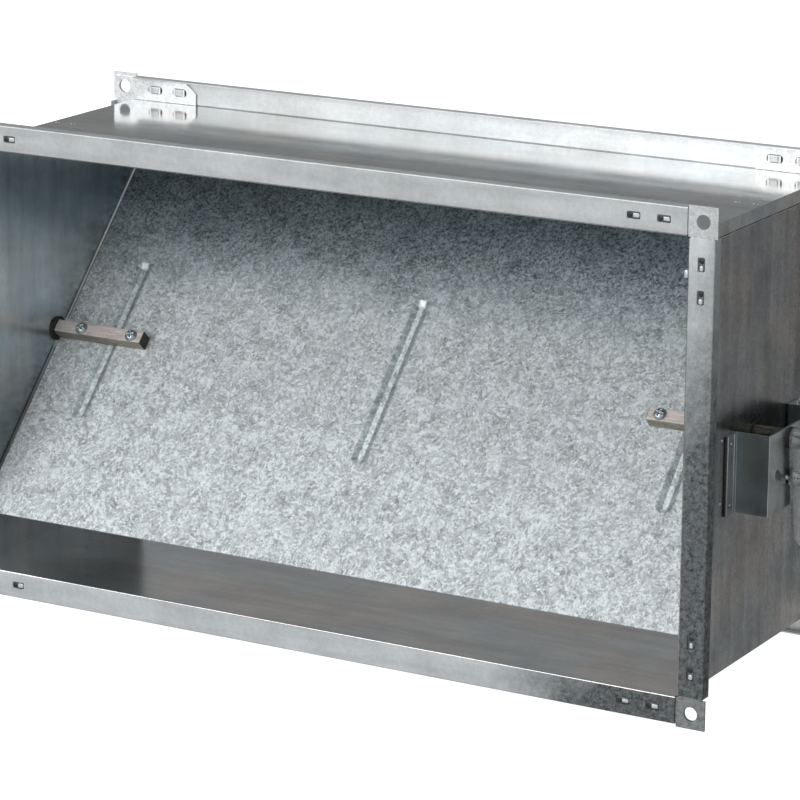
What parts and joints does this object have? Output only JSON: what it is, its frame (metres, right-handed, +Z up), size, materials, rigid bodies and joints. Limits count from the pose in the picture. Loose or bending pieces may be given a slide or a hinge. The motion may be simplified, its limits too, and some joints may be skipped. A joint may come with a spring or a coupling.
{
  "type": "volume control damper",
  "caption": "Rectangular duct damper: flanged sheet steel casing with corner plates, a pivoting ribbed blade on square bars, and a hand lever that clamps on a slotted bracket.",
  "frame": {"origin": "centre of the duct opening in the plane of the front flange face", "axes": "+X across the duct along the blade's pivot, lever on the +X side; +Y through the duct from the front flange to the rear flange; +Z up"},
  "size_m": [0.6149, 0.215, 0.34],
  "materials": {
    "galvanised_sheet": "satin, mottled zinc",
    "spangled_sheet": "satin, bright spangle",
    "stamped_zinc": "satin, electro zinc",
    "zinc_bar": "satin, yellowed zinc",
    "bright_zinc": "bright zinc",
    "bush_nylon": "matte black"
  },
  "bodies": {
    "casing": {"top_panel": "galvanised_sheet", "bottom_panel": "galvanised_sheet", "left_panel": "galvanised_sheet", "right_panel": "galvanised_sheet", "corner_front_top_left": "stamped_zinc", "corner_front_top_right": "stamped_zinc", "corner_front_bottom_left": "stamped_zinc", "corner_front_bottom_right": "stamped_zinc", "corner_rear_top_left": "stamped_zinc", "corner_rear_top_right": "stamped_zinc", "corner_rear_bottom_left": "stamped_zinc", "corner_rear_bottom_right": "stamped_zinc", "lever_bracket": "stamped_zinc", "left_bush": "bush_nylon", "right_bush": "bush_nylon", "bracket_bush": "bush_nylon"},
    "blade_assembly": {"blade": "spangled_sheet", "pivot_bar": "zinc_bar", "drive_bar": "zinc_bar", "blade_screws": "bright_zinc", "blade_nuts": "bright_zinc", "lever": "stamped_zinc", "lever_washer": "bright_zinc", "lever_screw": "bright_zinc", "clamp_bolt": "bright_zinc", "clamp_spacer": "bright_zinc", "clamp_washer": "bright_zinc"},
    "clamp_nut": {"wing_nut": "bright_zinc"}
  },
  "joints": [
    {"name": "blade_turn", "type": "hinge", "parent": "casing", "child": "blade_assembly", "pos_m": [0, 0.1075, 0], "axis": [1, 0, 0], "range_deg": [-46.5, 43.5]},
    {"name": "wing_nut_turn", "type": "hinge", "parent": "blade_assembly", "child": "clamp_nut", "pos_m": [0.31, 0.11091, -0.02779], "axis": [1, 0, 0], "continuous": true}
  ]
}
